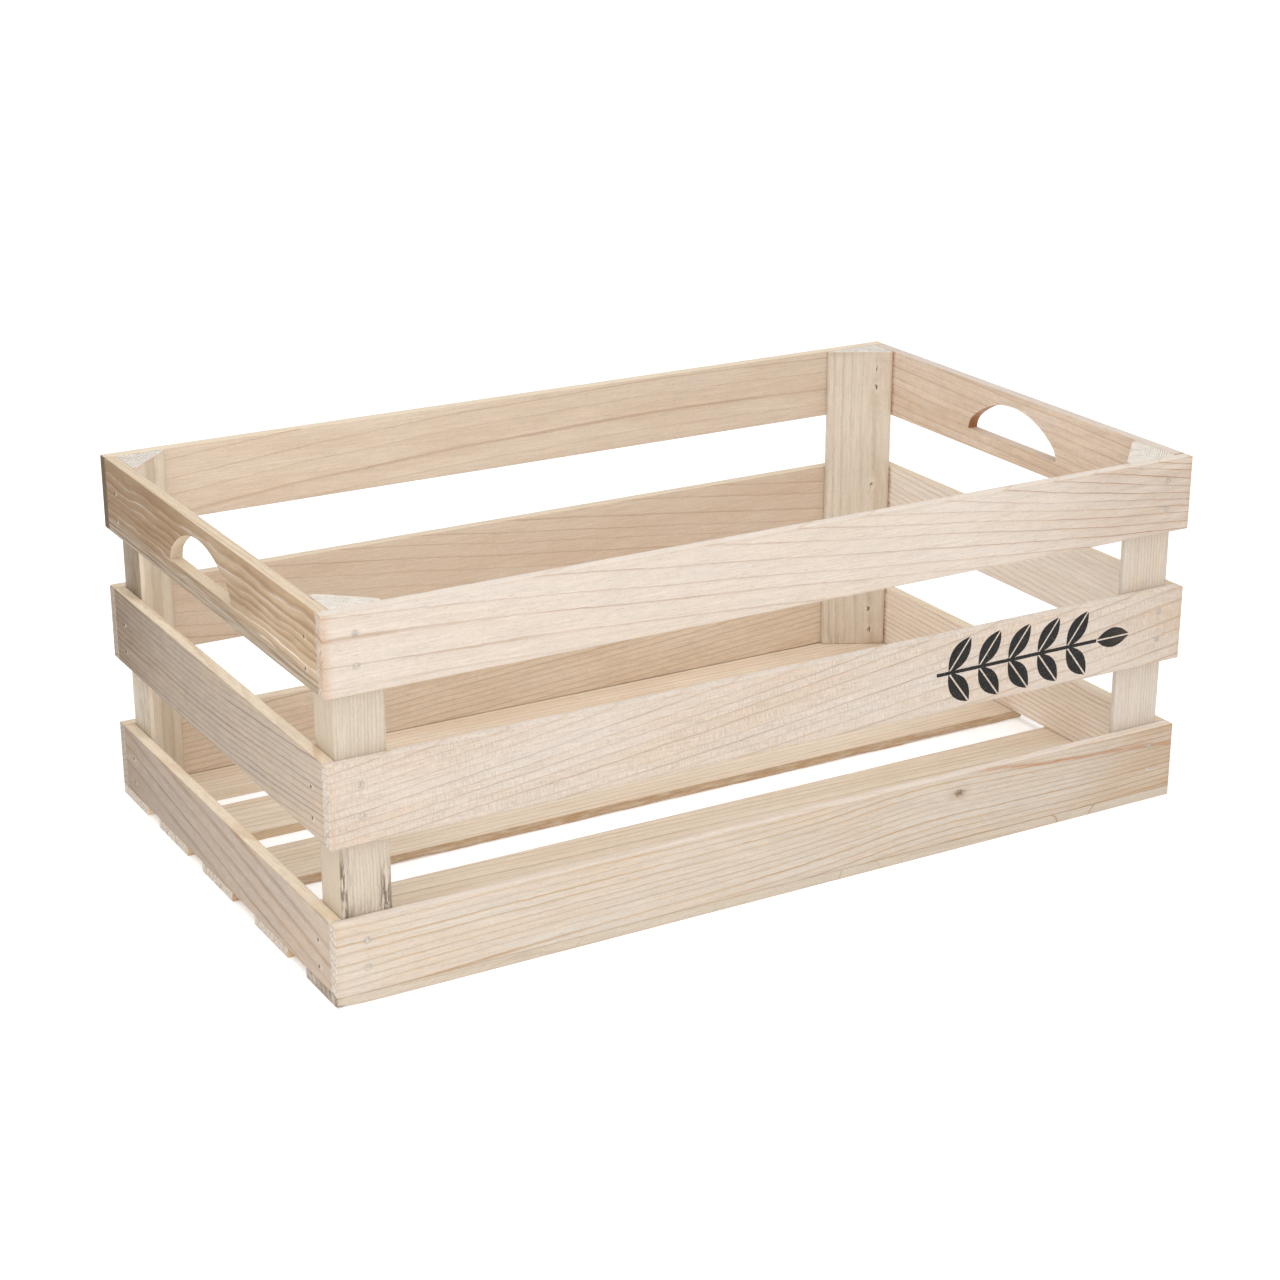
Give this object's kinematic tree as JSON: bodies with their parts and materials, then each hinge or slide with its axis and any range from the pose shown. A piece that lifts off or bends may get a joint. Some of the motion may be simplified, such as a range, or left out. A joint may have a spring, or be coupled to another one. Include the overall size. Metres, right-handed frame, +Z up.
{
  "type": "wooden apple crate",
  "caption": "Open slatted wooden crate for picking and storing apples, with triangular corner posts, spaced floor boards and an arched hand hole in each end.",
  "frame": {"origin": "middle of the underside of the floor boards, on the surface that the crate stands on", "axes": "+X along the crate's length, from the left end to the right end; +Y from the front to the back; +Z up"},
  "size_m": [0.6, 0.35, 0.234],
  "materials": {
    "side_wood": "raw planed softwood, matt",
    "end_wood": "raw planed softwood with strong figure, matt",
    "post_wood": "raw sawn softwood, matt",
    "floor_wood": "raw planed softwood, matt",
    "nail_steel": "dull bright steel"
  },
  "bodies": {
    "root": {"post_front_left": "post_wood", "post_front_right": "post_wood", "post_back_left": "post_wood", "post_back_right": "post_wood", "front_slat_bottom": "side_wood", "front_slat_middle": "side_wood", "front_slat_top": "side_wood", "back_slat_bottom": "side_wood", "back_slat_middle": "side_wood", "back_slat_top": "side_wood", "left_slat_bottom": "end_wood", "left_slat_middle": "end_wood", "left_slat_top": "end_wood", "right_slat_bottom": "end_wood", "right_slat_middle": "end_wood", "right_slat_top": "end_wood", "floor_board_front": "floor_wood", "floor_board_front_inner": "floor_wood", "floor_board_centre": "floor_wood", "floor_board_back_inner": "floor_wood", "floor_board_back": "floor_wood", "nails_front": "nail_steel", "nails_back": "nail_steel", "nails_left": "nail_steel", "nails_right": "nail_steel", "nails_floor": "nail_steel"}
  },
  "joints": []
}
